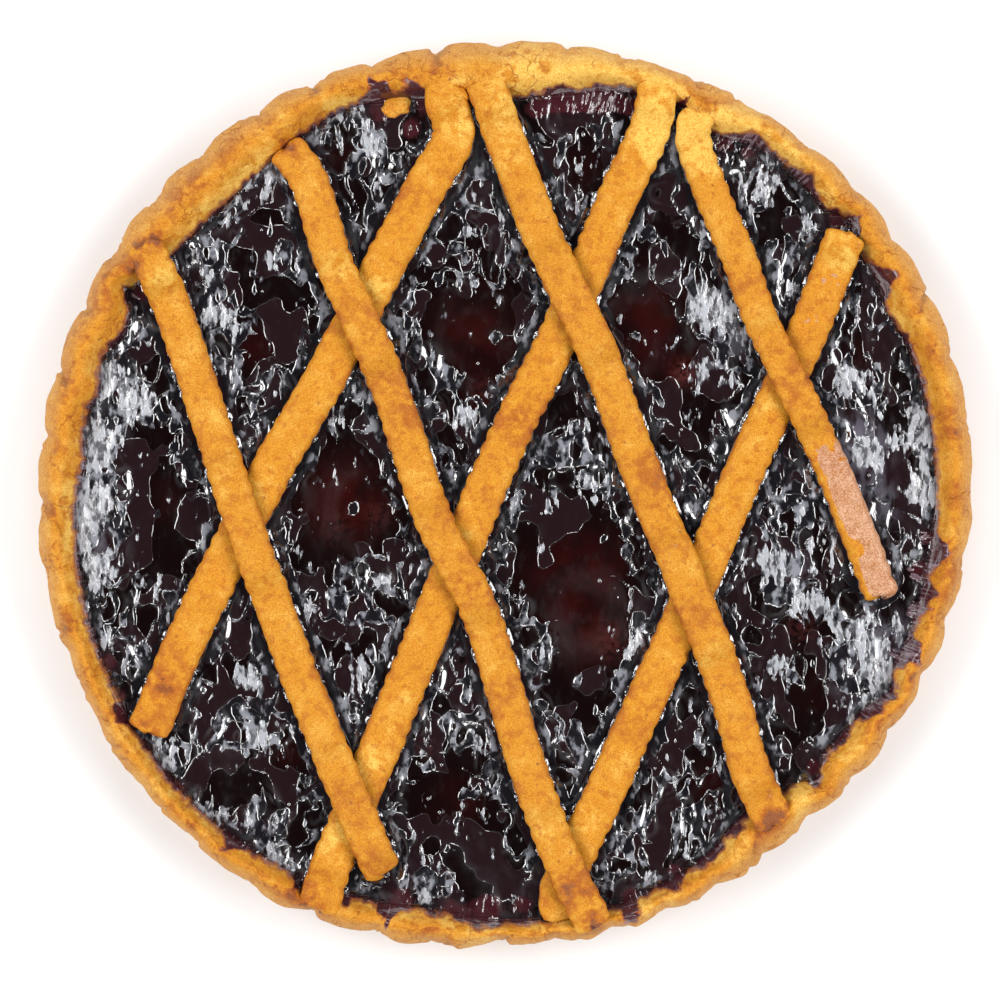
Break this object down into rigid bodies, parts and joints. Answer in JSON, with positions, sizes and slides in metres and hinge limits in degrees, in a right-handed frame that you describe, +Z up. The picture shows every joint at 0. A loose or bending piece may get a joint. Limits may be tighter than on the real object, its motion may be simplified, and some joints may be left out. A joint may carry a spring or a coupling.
{
  "type": "blueberry tart",
  "caption": "Round lattice-topped tart: a fluted shortcrust case with a thick uneven rim, filled with glossy dark blueberry jam under crossing strips of dough.",
  "frame": {"origin": "middle of the tart's underside, on the table", "axes": "+Z up out of the filling; seen from above with +Y away from the viewer, the over strips run from the upper left to the lower right"},
  "size_m": [0.2653, 0.2571, 0.0262],
  "materials": {
    "crust": "golden baked shortcrust, sandy and speckled, browner along the rim",
    "jam": "glossy wrinkled blueberry jam, nearly black with burgundy depths",
    "over_strip": "golden baked shortcrust, browner on the crossings",
    "under_strip": "golden baked shortcrust"
  },
  "bodies": {
    "root": {"crust": "crust", "jam": "jam", "over_strip_1": "over_strip", "over_strip_2": "over_strip", "over_strip_3": "over_strip", "over_strip_4": "over_strip", "under_strip_1": "under_strip", "under_strip_2": "under_strip", "under_strip_3": "under_strip"}
  },
  "joints": []
}
